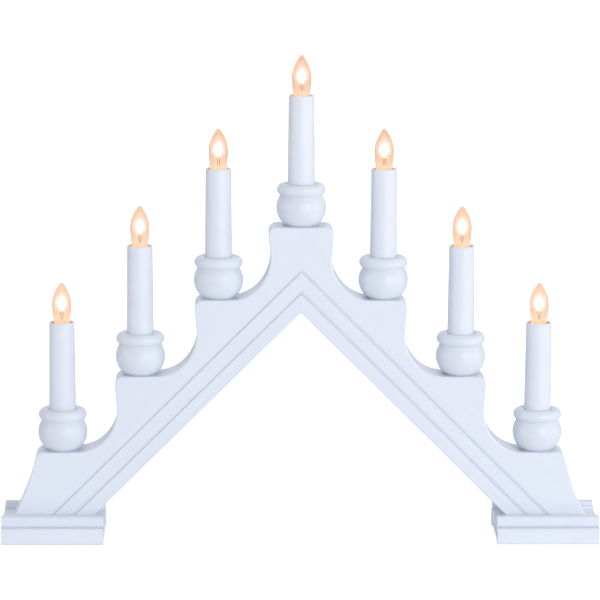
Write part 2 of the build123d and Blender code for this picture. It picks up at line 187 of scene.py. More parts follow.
def paint_group(edge_mask):
    """Sprayed paint over wood: cloudy tone, faint grain, fine orange peel and thin edges, with painted shade
    that darkens it in crevices and corners.
    """
    inputs = [
        ("Vector", "NodeSocketVector", None),
        ("Grain Vector", "NodeSocketVector", None),
        ("Tint", "NodeSocketColor", None),
        ("Grain Depth", "NodeSocketFloat", 0.3),
        ("Plain Roughness", "NodeSocketFloat", 0.35),
        ("Wear", "NodeSocketFloat", 0.3),
        ("Painted Crevice Shade", "NodeSocketFloat", 0.1),
        ("Painted Shade Reach", "NodeSocketFloat", 2.0 * MM)]
    group, tree, given, result = new_group("paint", inputs, FINISH_OUTPUTS)
    cloud = tree.spread(tree.noise(given["Vector"], PAINT_CLOUD_SCALE), *PAINT_CLOUD_RANGE)
    fibre = tree.noise(given["Grain Vector"], PAINT_FIBRE_SCALE, detail=5.0, roughness=0.6)
    rings = tree.noise(given["Grain Vector"], PAINT_RING_SCALE, detail=2.0)
    fibre = tree.spread(fibre, *PAINT_FIBRE_RANGE)
    grain = tree.math("MULTIPLY", fibre, tree.spread(rings, *PAINT_RING_RANGE))
    peel = tree.noise(given["Vector"], PAINT_PEEL_SCALE, detail=2.0)
    mask = tree.group(edge_mask, {"Vector": given["Vector"], **PAINT_EDGE})["Mask"]

    cloudy = tree.math("MULTIPLY", cloud, PAINT_CLOUD_SHARE)
    shade = tree.blend(cloudy, given["Tint"], linear(PAINT_CLOUD_TINT))
    grain_share = tree.math("MULTIPLY", given["Grain Depth"], PAINT_GRAIN_SHARE)
    shade = tree.blend(tree.math("MULTIPLY", grain, grain_share), shade, linear(PAINT_GRAIN_TINT))
    shade = tree.blend(tree.math("MULTIPLY", mask, given["Wear"]), shade, linear(PAINT_EDGE_TINT))
    # Painted shade: the colour darkens where ambient occlusion finds other surfaces close by
    reach = {"Distance": given["Painted Shade Reach"]}
    open_air = tree.add("ShaderNodeAmbientOcclusion", reach, samples=PAINTED_SHADE_SAMPLES).outputs["AO"]
    painted_shade = tree.math("MULTIPLY", tree.spread(open_air, *PAINTED_SHADE_RANGE), given["Painted Crevice Shade"])
    tree.feed(result["Color"], tree.blend(painted_shade, shade, linear(PAINTED_SHADE_TINT)))

    rough = tree.math("ADD", given["Plain Roughness"], tree.math("MULTIPLY", cloud, PAINT_CLOUD_ROUGHNESS))
    rough = tree.math("ADD", rough, tree.math("MULTIPLY", mask, PAINT_EDGE_ROUGHNESS))
    tree.feed(result["Roughness"], rough)
    relief = tree.math("MULTIPLY", grain, given["Grain Depth"])
    relief = tree.math("ADD", tree.math("MULTIPLY", peel, PAINT_PEEL_SHARE), relief)
    tree.feed(result["Height"], relief)
    return group


# Moulded plastic, with its darker cloud as factors of the tint's value and saturation
PLASTIC_CLOUD_SCALE = 45.0
PLASTIC_CLOUD_RANGE = (0.2, 0.8)
PLASTIC_CLOUD_VALUE = 0.93
PLASTIC_CLOUD_SATURATION = 1.1
PLASTIC_CLOUD_SHARE = 0.3
PLASTIC_CLOUD_ROUGHNESS = 0.06
PLASTIC_EDGE = {"Width": 0.5 * MM, "Break-up Scale": 120.0}
PLASTIC_EDGE_ROUGHNESS = 0.12


def moulded_group(edge_mask):
    """Moulded plastic: a nearly even tone with fine texture and rubbed edges."""
    inputs = [
        ("Vector", "NodeSocketVector", None),
        ("Tint", "NodeSocketColor", None),
        ("Plain Roughness", "NodeSocketFloat", 0.3),
        ("Texture Scale", "NodeSocketFloat", 1400.0)]
    group, tree, given, result = new_group("moulded_plastic", inputs, FINISH_OUTPUTS)
    cloud = tree.spread(tree.noise(given["Vector"], PLASTIC_CLOUD_SCALE), *PLASTIC_CLOUD_RANGE)
    fine = tree.noise(given["Vector"], given["Texture Scale"], detail=2.0)
    mask = tree.group(edge_mask, {"Vector": given["Vector"], **PLASTIC_EDGE})["Mask"]
    darker = tree.add("ShaderNodeHueSaturation", {
        "Color": given["Tint"], "Value": PLASTIC_CLOUD_VALUE, "Saturation": PLASTIC_CLOUD_SATURATION})
    cloudy = tree.math("MULTIPLY", cloud, PLASTIC_CLOUD_SHARE)
    tree.feed(result["Color"], tree.blend(cloudy, given["Tint"], darker.outputs["Color"]))
    rough = tree.math("ADD", given["Plain Roughness"], tree.math("MULTIPLY", cloud, PLASTIC_CLOUD_ROUGHNESS))
    rough = tree.math("ADD", rough, tree.math("MULTIPLY", mask, PLASTIC_EDGE_ROUGHNESS))
    tree.feed(result["Roughness"], rough)
    tree.feed(result["Height"], fine)
    return group


# Metal, tarnished in patches and rubbed bright on its edges
METAL_PATCH_SCALE = 380.0
METAL_PATCH_RANGE = (0.45, 0.7)
METAL_PATCH_SHARE = 0.6
METAL_PATCH_ROUGHNESS = 0.2
METAL_EDGE = {"Width": 0.3 * MM, "Break-up Scale": 500.0}
METAL_EDGE_TINT = (0.95, 0.93, 0.88)
METAL_EDGE_SHARE = 0.5


def metal_group(edge_mask):
    """Rolled or turned metal: tarnish in patches, fine scratches and brighter edges."""
    inputs = [
        ("Vector", "NodeSocketVector", None),
        ("Tint", "NodeSocketColor", None),
        ("Tarnish", "NodeSocketColor", None),
        ("Plain Roughness", "NodeSocketFloat", 0.25),
        ("Scratch Scale", "NodeSocketFloat", 900.0)]
    group, tree, given, result = new_group("worn_metal", inputs, FINISH_OUTPUTS)
    patches = tree.spread(tree.noise(given["Vector"], METAL_PATCH_SCALE, detail=4.0), *METAL_PATCH_RANGE)
    scratch = tree.noise(given["Vector"], given["Scratch Scale"], detail=4.0, roughness=0.7)
    mask = tree.group(edge_mask, {"Vector": given["Vector"], **METAL_EDGE})["Mask"]
    shade = tree.blend(tree.math("MULTIPLY", patches, METAL_PATCH_SHARE), given["Tint"], given["Tarnish"])
    shade = tree.blend(tree.math("MULTIPLY", mask, METAL_EDGE_SHARE), shade, linear(METAL_EDGE_TINT))
    tree.feed(result["Color"], shade)
    rough = tree.math("ADD", given["Plain Roughness"], tree.math("MULTIPLY", patches, METAL_PATCH_ROUGHNESS))
    tree.feed(result["Roughness"], rough)
    tree.feed(result["Height"], scratch)
    return group


EDGE_MASK = edge_mask_group()
PAINT = paint_group(EDGE_MASK)
MOULDED = moulded_group(EDGE_MASK)
METAL = metal_group(EDGE_MASK)


def new_material(name, preview):
    """A material with an empty tree, and its shader already linked to the output."""
    material = bpy.data.materials.new(name)
    material.use_nodes = True
    material.diffuse_color = preview
    material.node_tree.nodes.clear()
    tree = Tree(material.node_tree)
    shader = tree.add("ShaderNodeBsdfPrincipled")
    tree.add("ShaderNodeOutputMaterial", {"Surface": shader.outputs["BSDF"]})
    return material, tree, shader


def dress(tree, shader, effect, bump, depth):
    """Feeds an effect's colour, roughness and height into a shader."""
    tree.feed(shader.inputs["Base Color"], effect["Color"])
    tree.feed(shader.inputs["Roughness"], effect["Roughness"])
    tree.feed(shader.inputs["Normal"], tree.bump(effect["Height"], bump, depth))


def here_on(tree):
    """The place on the object, in metres, that a pattern is drawn by."""
    return tree.add("ShaderNodeTexCoord").outputs["Object"]


PAINT_TINT = (0.905, 0.925, 0.965)
CUP_TINT = (0.885, 0.91, 0.945)
PAINT_WEAR = 0.3
PAINT_BUMP = 0.12
PAINT_BUMP_DEPTH = 0.2 * MM
PAINT_SPECULAR = 0.35
PAINT_COAT = 0.06
PAINT_COAT_ROUGHNESS = 0.25
GRAIN_ALONG_X = (0.08, 1.0, 1.0)
GRAIN_ALONG_Z = (1.0, 1.0, 0.1)


def painted_wood(name, grain_turn=0.0, tint=PAINT_TINT, stretch=GRAIN_ALONG_X, roughness=0.34, grain=0.5):
    """White paint over wood whose grain is drawn out along one axis, after a turn about Y."""
    material, tree, shader = new_material(name, linear(tint))
    here = here_on(tree)
    turned_about = tree.add("ShaderNodeMapping", {"Vector": here, "Rotation": (0.0, grain_turn, 0.0)})
    drawn = tree.add("ShaderNodeMapping", {"Vector": turned_about.outputs["Vector"], "Scale": stretch})
    effect = tree.group(PAINT, {
        "Vector": here, "Grain Vector": drawn.outputs["Vector"], "Tint": linear(tint),
        "Grain Depth": grain, "Plain Roughness": roughness, "Wear": PAINT_WEAR})
    dress(tree, shader, effect, PAINT_BUMP, PAINT_BUMP_DEPTH)
    shader.inputs["Specular IOR Level"].default_value = PAINT_SPECULAR
    shader.inputs["Coat Weight"].default_value = PAINT_COAT
    shader.inputs["Coat Roughness"].default_value = PAINT_COAT_ROUGHNESS
    return material


TUBE_TINT = (0.908, 0.922, 0.962)
PLASTIC_TEXTURE_SCALE = 1400.0
PLASTIC_BUMP = 0.05
PLASTIC_BUMP_DEPTH = 0.1 * MM
PLASTIC_COAT_ROUGHNESS = 0.15
# Tint of the lamp light that is painted into plastic as an emission
PAINTED_LAMP_LIGHT_TINT = (1.0, 0.93, 0.86)


def moulded(name, tint, roughness, coat=0.0, painted_lamp_glow=0.0):
    """Plastic. Where a glow above 0 is given, the lamp's light falling on it is painted in as a faint
    emission.
    """
    material, tree, shader = new_material(name, linear(tint))
    effect = tree.group(MOULDED, {
        "Vector": here_on(tree), "Tint": linear(tint), "Plain Roughness": roughness,
        "Texture Scale": PLASTIC_TEXTURE_SCALE})
    dress(tree, shader, effect, PLASTIC_BUMP, PLASTIC_BUMP_DEPTH)
    shader.inputs["Coat Weight"].default_value = coat
    shader.inputs["Coat Roughness"].default_value = PLASTIC_COAT_ROUGHNESS
    shader.inputs["Emission Color"].default_value = linear(PAINTED_LAMP_LIGHT_TINT)
    shader.inputs["Emission Strength"].default_value = painted_lamp_glow
    return material


METAL_BUMP = 0.08
METAL_BUMP_DEPTH = 0.05 * MM


def metal(name, tint, tarnish, roughness):
    """Bare or plated metal with its own tarnish."""
    material, tree, shader = new_material(name, linear(tint))
    effect = tree.group(METAL, {
        "Vector": here_on(tree), "Tint": linear(tint), "Tarnish": linear(tarnish),
        "Plain Roughness": roughness})
    dress(tree, shader, effect, METAL_BUMP, METAL_BUMP_DEPTH)
    shader.inputs["Metallic"].default_value = 1.0
    return material


# Lamp glass. Heights are shares of the way from the cap's top to the tip.
GLASS_TINT = (1.0, 0.945, 0.88)
GLASS_STREAK_TINT = (1.0, 0.92, 0.83)
GLASS_STREAK_SCALE = 120.0
GLASS_PREVIEW_ALPHA = 0.4
GLASS_FILM_SCALE = 260.0
GLASS_FILM_RANGE = (0.4, 0.7)
GLASS_FILM_ROUGHNESS = (0.02, 0.09)
GLASS_WAVE_SCALE = 300.0
GLASS_WAVE_BUMP = 0.04
GLASS_WAVE_DEPTH = 0.1 * MM
GLASS_TRANSMISSION = 0.92
GLASS_IOR = 1.3
GLOW_STRENGTH = 0.5
GLOW_TINT = (0.42, 0.31, 0.265)
GLOW_LOW_TINT = (0.54, 0.466, 0.435)
GLOW_LOW_HEIGHTS = (0.38, 0.10)
GLOW_CORE_TINT = (0.80, 0.73, 0.84)
GLOW_CORE_FOOT = (0.28, 0.48)
GLOW_CORE_HEAD = (0.98, 0.56)
GLOW_CORE_SIDES = (0.35, 0.0)
GLOW_CORE_POWER = 1.8
LAYER_BLEND = 0.5


def lamp_glass():
    """Thin glass with faint draw lines, warm in tone, and the filament's soft glow in its middle."""
    material, tree, shader = new_material("lamp_glass", linear(GLASS_TINT, GLASS_PREVIEW_ALPHA))
    here = here_on(tree)
    film = tree.noise(here, GLASS_FILM_SCALE, detail=2.0)
    film = tree.spread(film, *GLASS_FILM_RANGE, *GLASS_FILM_ROUGHNESS)
    tone = tree.blend(tree.noise(here, GLASS_STREAK_SCALE), linear(GLASS_TINT), linear(GLASS_STREAK_TINT))
    height_map = tree.add("ShaderNodeUVMap", uv_map="height").outputs["UV"]
    up = tree.add("ShaderNodeSeparateXYZ", {"Vector": height_map}).outputs["Y"]
    facing = tree.add("ShaderNodeLayerWeight", {"Blend": LAYER_BLEND}).outputs["Facing"]
    tall = tree.math("MULTIPLY", tree.spread(up, *GLOW_CORE_FOOT), tree.spread(up, *GLOW_CORE_HEAD))
    core = tree.math("MULTIPLY", tall, tree.spread(facing, *GLOW_CORE_SIDES))
    core = tree.math("POWER", core, GLOW_CORE_POWER)
    low_down = tree.spread(up, *GLOW_LOW_HEIGHTS)
    warm = tree.blend(low_down, linear(GLOW_TINT), linear(GLOW_LOW_TINT))
    tree.feed(shader.inputs["Emission Color"], tree.blend(core, warm, linear(GLOW_CORE_TINT)))
    shader.inputs["Emission Strength"].default_value = GLOW_STRENGTH
    tree.feed(shader.inputs["Base Color"], tone)
    tree.feed(shader.inputs["Roughness"], film)
    waves = tree.noise(here, GLASS_WAVE_SCALE, detail=2.0)
    tree.feed(shader.inputs["Normal"], tree.bump(waves, GLASS_WAVE_BUMP, GLASS_WAVE_DEPTH))
    shader.inputs["Transmission Weight"].default_value = GLASS_TRANSMISSION
    shader.inputs["IOR"].default_value = GLASS_IOR
    return material


FILAMENT_PREVIEW = (1.0, 0.9, 0.7)
FILAMENT_HEAT_SCALE = 900.0
FILAMENT_HOT_TINT = (1.0, 0.92, 0.80)
FILAMENT_COOLER_TINT = (1.0, 0.87, 0.70)
FILAMENT_SKIN_SCALE = 700.0
FILAMENT_SKIN_RANGE = (0.3, 0.7)
FILAMENT_ROUGHNESS = (0.4, 0.6)
FILAMENT_GLOW = 3.5


def glowing_wire():
    """Hot filament, with a slight change of heat along it."""
    material, tree, shader = new_material("glowing_wire", linear(FILAMENT_PREVIEW))
    here = here_on(tree)
    cooler = tree.noise(here, FILAMENT_HEAT_SCALE)
    heat = tree.blend(cooler, linear(FILAMENT_HOT_TINT), linear(FILAMENT_COOLER_TINT))
    tree.feed(shader.inputs["Emission Color"], heat)
    tree.feed(shader.inputs["Base Color"], heat)
    skin = tree.noise(here, FILAMENT_SKIN_SCALE)
    skin = tree.spread(skin, *FILAMENT_SKIN_RANGE, *FILAMENT_ROUGHNESS)
    tree.feed(shader.inputs["Roughness"], skin)
    shader.inputs["Emission Strength"].default_value = FILAMENT_GLOW
    return material


HARDBOARD_PREVIEW = (0.45, 0.33, 0.22)
HARDBOARD_FIBRE_SCALE = 420.0
HARDBOARD_FIBRE_RANGE = (0.35, 0.7)
HARDBOARD_DARK_TINT = (0.36, 0.25, 0.16)
HARDBOARD_LIGHT_TINT = (0.52, 0.39, 0.26)
HARDBOARD_STAIN_SCALE = 35.0
HARDBOARD_STAIN_RANGE = (0.4, 0.7)
HARDBOARD_STAIN_SHARE = (0.0, 0.4)
HARDBOARD_STAIN_TINT = (0.41, 0.30, 0.21)
HARDBOARD_ROUGHNESS = (0.55, 0.75)
HARDBOARD_BUMP = 0.25
HARDBOARD_BUMP_DEPTH = 0.1 * MM


def hardboard():
    """Pressed fibre strip, with short darker fibres."""
    material, tree, shader = new_material("hardboard", linear(HARDBOARD_PREVIEW))
    here = here_on(tree)
    fibres = tree.noise(here, HARDBOARD_FIBRE_SCALE, detail=6.0, roughness=0.7)
    fibres = tree.spread(fibres, *HARDBOARD_FIBRE_RANGE)
    tone = tree.blend(fibres, linear(HARDBOARD_DARK_TINT), linear(HARDBOARD_LIGHT_TINT))
    stain = tree.noise(here, HARDBOARD_STAIN_SCALE)
    stain = tree.spread(stain, *HARDBOARD_STAIN_RANGE, *HARDBOARD_STAIN_SHARE)
    tree.feed(shader.inputs["Base Color"], tree.blend(stain, tone, linear(HARDBOARD_STAIN_TINT)))
    tree.feed(shader.inputs["Roughness"], tree.spread(fibres, 0.0, 1.0, *HARDBOARD_ROUGHNESS))
    tree.feed(shader.inputs["Normal"], tree.bump(fibres, HARDBOARD_BUMP, HARDBOARD_BUMP_DEPTH))
    return material


BEECH_PREVIEW = (0.76, 0.60, 0.42)
BEECH_STRETCH = (0.15, 1.0, 1.0)
BEECH_GRAIN_SCALE = 700.0
BEECH_GRAIN_RANGE = (0.35, 0.7)
BEECH_LIGHT_TINT = (0.80, 0.65, 0.46)
BEECH_DARK_TINT = (0.66, 0.49, 0.31)
BEECH_ROUGHNESS = (0.5, 0.7)
BEECH_BUMP = 0.2
BEECH_BUMP_DEPTH = 0.1 * MM


def raw_wood():
    """Bare turned beech of the dowels, with grain along X."""
    material, tree, shader = new_material("raw_wood", linear(BEECH_PREVIEW))
    drawn = tree.add("ShaderNodeMapping", {"Vector": here_on(tree), "Scale": BEECH_STRETCH})
    grain = tree.noise(drawn.outputs["Vector"], BEECH_GRAIN_SCALE, detail=5.0)
    grain = tree.spread(grain, *BEECH_GRAIN_RANGE)
    tone = tree.blend(grain, linear(BEECH_LIGHT_TINT), linear(BEECH_DARK_TINT))
    tree.feed(shader.inputs["Base Color"], tone)
    tree.feed(shader.inputs["Roughness"], tree.spread(grain, 0.0, 1.0, *BEECH_ROUGHNESS))
    tree.feed(shader.inputs["Normal"], tree.bump(grain, BEECH_BUMP, BEECH_BUMP_DEPTH))
    return material


# The grain of each leg board runs up its slope, at 45 degrees
LEG_SLOPE = math.pi / 4
MATERIALS = {
    "right_board": painted_wood("right_board_paint", grain_turn=-LEG_SLOPE),
    "left_board": painted_wood("left_board_paint", grain_turn=LEG_SLOPE),
    "foot": painted_wood("foot_paint"),
    "cup": painted_wood("cup_paint", tint=CUP_TINT, stretch=GRAIN_ALONG_Z, roughness=0.28, grain=0.3),
    "tube": moulded("tube_plastic", TUBE_TINT, roughness=0.36, coat=0.04),
    # The holders' faint emission is painted light from the lamps above them
    "holder": moulded("holder_plastic", tint=(0.95, 0.93, 0.89), roughness=0.45, painted_lamp_glow=0.22),
    "bush": moulded("bush_plastic", tint=(0.86, 0.87, 0.89), roughness=0.4),
    "insulation": moulded("wire_insulation", tint=(0.90, 0.90, 0.88), roughness=0.35),
    "insulator": moulded("cap_insulator", tint=(0.10, 0.09, 0.10), roughness=0.15),
    "brass": metal("lamp_brass", tint=(0.83, 0.68, 0.38), tarnish=(0.55, 0.40, 0.20), roughness=0.25),
    "nickel": metal("cap_nickel", tint=(0.78, 0.76, 0.72), tarnish=(0.52, 0.49, 0.44), roughness=0.22),
    "support": metal("support_wire", tint=(0.30, 0.25, 0.22), tarnish=(0.16, 0.12, 0.10), roughness=0.45),
    "steel": metal("zinc_steel", tint=(0.66, 0.67, 0.68), tarnish=(0.45, 0.45, 0.44), roughness=0.35),
    "glass": lamp_glass(),
    "filament": glowing_wire(),
    "hardboard": hardboard(),
    "raw_wood": raw_wood(),
}


# The CAD nodes' finishes. The screws and pins have one too, though pieces stand for them further down.
NODE_FINISHES = {
    "left_leg": "left_board",
    "right_leg": "right_board",
    "left_foot": "foot",
    "right_foot": "foot",
    "apex_dowels": "raw_wood",
    "foot_screws": "steel",
    "left_channel_strip": "hardboard",
    "right_channel_strip": "hardboard",
    "strip_pins": "steel",
    "lead_inlet_bush": "bush",
    "lamp_shells": "brass",
    "lamp_contacts": "brass",
    "link_wires": "insulation",
    "supply_wire": "insulation",
    "return_wire": "insulation",
}
for number in CANDLES:
    NODE_FINISHES[f"cup_{number}"] = "cup"
    NODE_FINISHES[f"candle_tube_{number}"] = "tube"
    NODE_FINISHES[f"lamp_holder_{number}"] = "holder"
for node_name, finish in NODE_FINISHES.items():
    node_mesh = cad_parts[node_name].data
    node_mesh.materials.clear()
    node_mesh.materials.append(MATERIALS[finish])


def add_piece(name, mesh, body, material):
    """A finished piece of the object, riding on a body of the frame."""
    mesh.materials.clear()
    mesh.materials.append(MATERIALS[material])
    piece = bpy.data.objects.new(name, mesh)
    bpy.context.collection.objects.link(piece)
    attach(piece, body)
    return piece


# Angles in degrees past which an edge stays sharp
SHARP_EDGE = 35.0
SHARP_WIRE_EDGE = 60.0

# How near a wire's points are merged, as a share of its radius
WIRE_MERGE_SHARE = 0.001


def smoothed(mesh, limit=SHARP_EDGE):
    """Smooth shading, with the edges sharper than the limit kept sharp."""
    mesh.shade_smooth()
    mesh.set_sharp_from_angle(angle=math.radians(limit))
    return mesh


def moved_copy(mesh, name, offset):
    copy = mesh.copy()
    copy.name = name
    copy.transform(Matrix.Translation(offset))
    return copy


def catmull_rom(before, start, end, after, t):
    """One coordinate of the smooth line from start to end."""
    slope = end - before
    bend = 2 * before - 5 * start + 4 * end - after
    twist = 3 * start - before - 3 * end + after
    return 0.5 * (2 * start + slope * t + bend * t * t + twist * t ** 3)


def smooth_line(points, steps):
    """Points along a Catmull-Rom line through the given ones, both ends kept."""
    padded = [points[0], *points, points[-1]]
    line = []
    for corners in zip(padded, padded[1:], padded[2:], padded[3:]):
        for step in range(steps):
            line.append(tuple(catmull_rom(*column, step / steps) for column in zip(*corners)))
    return line + [tuple(points[-1])]


def turned(name, outline, around):
    """Closed solid turned about Z from a closed outline of (radius, height). Radius 0 makes a pole."""
    shape = bmesh.new()
    rings = []
    for radius, height in outline:
        count = around if radius > 0 else 1
        turns = [math.tau * step / around for step in range(count)]
        rings.append([shape.verts.new((radius * math.cos(a), radius * math.sin(a), height)) for a in turns])
    for low, high in zip(rings, rings[1:] + rings[:1]):
        if len(low) == len(high) == 1:
            continue
        for step in range(around):
            after = (step + 1) % around
            corners = [
                low[step % len(low)], low[after % len(low)],
                high[after % len(high)], high[step % len(high)]]
            # A pole comes up twice among the corners, and is kept once
            shape.faces.new(dict.fromkeys(corners))
    bmesh.ops.recalc_face_normals(shape, faces=shape.faces)
    mesh = bpy.data.meshes.new(name)
    shape.to_mesh(mesh)
    shape.free()
    return smoothed(mesh)


def tube_along(name, points, radius, resolution):
    """Round wire through the given points with closed ends, as a plain mesh."""
    curve = bpy.data.curves.new(name, "CURVE")
    curve.dimensions = "3D"
    curve.bevel_depth = radius
    curve.bevel_resolution = resolution
    curve.use_fill_caps = True
    line = curve.splines.new("POLY")
    line.points.add(len(points) - 1)
    for point, co in zip(line.points, points):
        point.co = (*co, 1.0)
    carrier = bpy.data.objects.new(name, curve)
    mesh = bpy.data.meshes.new_from_object(carrier)
    bpy.data.objects.remove(carrier)
    bpy.data.curves.remove(curve)
    shape = bmesh.new()
    shape.from_mesh(mesh)
    bmesh.ops.remove_doubles(shape, verts=shape.verts, dist=radius * WIRE_MERGE_SHARE)
    bmesh.ops.recalc_face_normals(shape, faces=shape.faces)
    shape.to_mesh(mesh)
    shape.free()
    return smoothed(mesh, SHARP_WIRE_EDGE)


class GeometryTree(Tree):
    """A Geometry Nodes tree with named inputs that ends in plain geometry with one material."""

    def __init__(self, name, inputs):
        super().__init__(bpy.data.node_groups.new(name, "GeometryNodeTree"))
        self.sockets = {}
        for label, kind, value in inputs:
            socket = self.tree.interface.new_socket(label, in_out="INPUT", socket_type=kind)
            if value is not None:
                socket.default_value = value
            self.sockets[label] = socket.identifier
        self.tree.interface.new_socket("Geometry", in_out="OUTPUT", socket_type="NodeSocketGeometry")
        self.given = self.add("NodeGroupInput").outputs

    def end(self, geometry, material):
        real = self.add("GeometryNodeRealizeInstances", {"Geometry": geometry}).outputs["Geometry"]
        done = self.add("GeometryNodeSetMaterial", {"Geometry": real, "Material": material})
        self.add("NodeGroupOutput", {"Geometry": done.outputs["Geometry"]})

    def grow(self, name, start=None, **sizes):
        """Runs the tree on a carrier with the given sizes and returns the plain mesh that it makes."""
        carrier = bpy.data.objects.new(name, start or bpy.data.meshes.new(name))
        bpy.context.collection.objects.link(carrier)
        modifier = carrier.modifiers.new(name, "NODES")
        modifier.node_group = self.tree
        for label, value in sizes.items():
            modifier[self.sockets[label.replace("_", " ")]] = value
        bpy.context.view_layer.update()
        graph = bpy.context.evaluated_depsgraph_get()
        mesh = bpy.data.meshes.new_from_object(carrier.evaluated_get(graph), depsgraph=graph)
        carrier.modifiers.remove(modifier)
        bpy.data.objects.remove(carrier)
        return smoothed(mesh)


# Shares of the envelope's widest radius and of its length above the cap, from its throat to its point
ENVELOPE_SHARES = [(0.8, 0.055), (0.852, 0.124), (0.956, 0.3), (1.0, 0.457), (0.8, 0.749), (0.17, 0.981)]
NECK_SHARE = 0.649
NECK_RISE = 0.3 * MM
ARC_STEPS = 10
GLASS_WALL = 0.4 * MM
GLASS_AROUND = 64


def arc_through(start, middle, end, steps):
    """Points on the circle through three points, without the last one."""
    (ax, ay), (bx, by), (cx, cy) = start, middle, end
    a, b, c = ax * ax + ay * ay, bx * bx + by * by, cx * cx + cy * cy
    double = 2.0 * (ax * (by - cy) + bx * (cy - ay) + cx * (ay - by))
    x = (a * (by - cy) + b * (cy - ay) + c * (ay - by)) / double
    y = (a * (cx - bx) + b * (ax - cx) + c * (bx - ax)) / double
    radius = math.hypot(ax - x, ay - y)
    first = math.atan2(ay - y, ax - x)
    sweep = (math.atan2(cy - y, cx - x) - first + math.pi) % math.tau - math.pi
    turns = [first + sweep * step / steps for step in range(steps)]
    return [(x + radius * math.cos(turn), y + radius * math.sin(turn)) for turn in turns]


def glass_outline(neck_length, length, radius):
    """Outside of the envelope from neck to tip, then its inside back down, with the cap's top at 0."""
    neck = (radius * NECK_SHARE, NECK_RISE)
    arc_points = [(radius * across, length * up) for across, up in ENVELOPE_SHARES]
    throat, mouth, side, belly, ogive, point = arc_points
    outer = [(neck[0], -neck_length)]
    for arc in ((neck, throat, mouth), (mouth, side, belly), (belly, ogive, point)):
        outer += arc_through(*arc, ARC_STEPS)
    inner = [(r - GLASS_WALL, h) for r, h in outer + [point]]
    return outer + [point, (0.0, length), (0.0, length - GLASS_WALL)] + inner[::-1]


def glass_mesh(neck_length, length, radius):
    """Glass envelope, with a UV map whose V is 0 at the cap's top and 1 at the tip."""
    mesh = turned("glass", glass_outline(neck_length, length, radius), GLASS_AROUND)
    layer = mesh.uv_layers.new(name="height")
    for loop in mesh.loops:
        layer.data[loop.index].uv = (0.5, mesh.vertices[loop.vertex_index].co.z / length)
    return mesh


# The bulb's cap. The contact's and the insulator's shares are of their own radius and height.
CONTACT_HEIGHT = 0.8 * MM
CONTACT_RADIUS = 1.7 * MM
CONTACT_SHARES = [(0.0, 0.0), (0.6, 0.1), (1.0, 0.6), (1.0, 1.0)]
CONTACT_STEPS = 4
CONTACT_AROUND = 32
INSULATOR_HEIGHT = 1.7 * MM
INSULATOR_RADIUS = 2.3 * MM
INSULATOR_WAIST = (0.8, 0.55)
INSULATOR_AROUND = 48
COLLAR_HEIGHT = 4.0 * MM
COLLAR_RADIUS = 4.62 * MM
COLLAR_FOOT_INSET = 0.25 * MM
COLLAR_FOOT_RISE = 0.3 * MM
COLLAR_LIP = 0.1 * MM
COLLAR_AROUND = 64
CAP_WALL = 0.3 * MM
THREAD_DEPTH = 0.5 * MM


def thread_tree():
    """Barrel with a rolled round thread that fades out at both ends."""
    tree = GeometryTree("rolled_thread", [
        ("Radius", "NodeSocketFloat", 4.5 * MM),
        ("Thread Depth", "NodeSocketFloat", 0.5 * MM),
        ("Pitch", "NodeSocketFloat", 1.8 * MM),
        ("Length", "NodeSocketFloat", 7.5 * MM),
        ("Around", "NodeSocketInt", 48),
        ("Along", "NodeSocketInt", 40)])
    given = tree.given
    barrel = tree.add("GeometryNodeMeshCylinder", {
        "Vertices": given["Around"], "Side Segments": given["Along"], "Radius": given["Radius"],
        "Depth": given["Length"]}, fill_type="NGON")
    here = tree.add("GeometryNodeInputPosition").outputs["Position"]
    axes = tree.add("ShaderNodeSeparateXYZ", {"Vector": here}).outputs
    turn = tree.math("DIVIDE", tree.math("ARCTAN2", axes["Y"], axes["X"]), math.tau)
    phase = tree.math("SUBTRACT", tree.math("DIVIDE", axes["Z"], given["Pitch"]), turn)
    wave = tree.math("COSINE", tree.math("MULTIPLY", phase, math.tau))
    half_length = tree.math("MULTIPLY", given["Length"], 0.5)
    room = tree.math("SUBTRACT", half_length, tree.math("ABSOLUTE", axes["Z"]))
    fade_range = {"Value": room, "From Min": 0.0, "From Max": given["Pitch"]}
    fade = tree.add("ShaderNodeMapRange", fade_range, interpolation_type="SMOOTHSTEP").outputs["Result"]
    half_depth = tree.math("MULTIPLY", given["Thread Depth"], 0.5)
    depth = tree.math("MULTIPLY", tree.math("MULTIPLY", wave, fade), half_depth)
    flat = tree.add("ShaderNodeCombineXYZ", {"X": axes["X"], "Y": axes["Y"]}).outputs["Vector"]
    outward = tree.add("ShaderNodeVectorMath", {0: flat}, operation="NORMALIZE").outputs["Vector"]
    push = tree.add("ShaderNodeVectorMath", {0: outward, "Scale": depth}, operation="SCALE").outputs["Vector"]
    shaped = tree.add("GeometryNodeSetPosition", {"Geometry": barrel.outputs["Mesh"], "Offset": push})
    tree.end(shaped.outputs["Geometry"], MATERIALS["nickel"])
    return tree


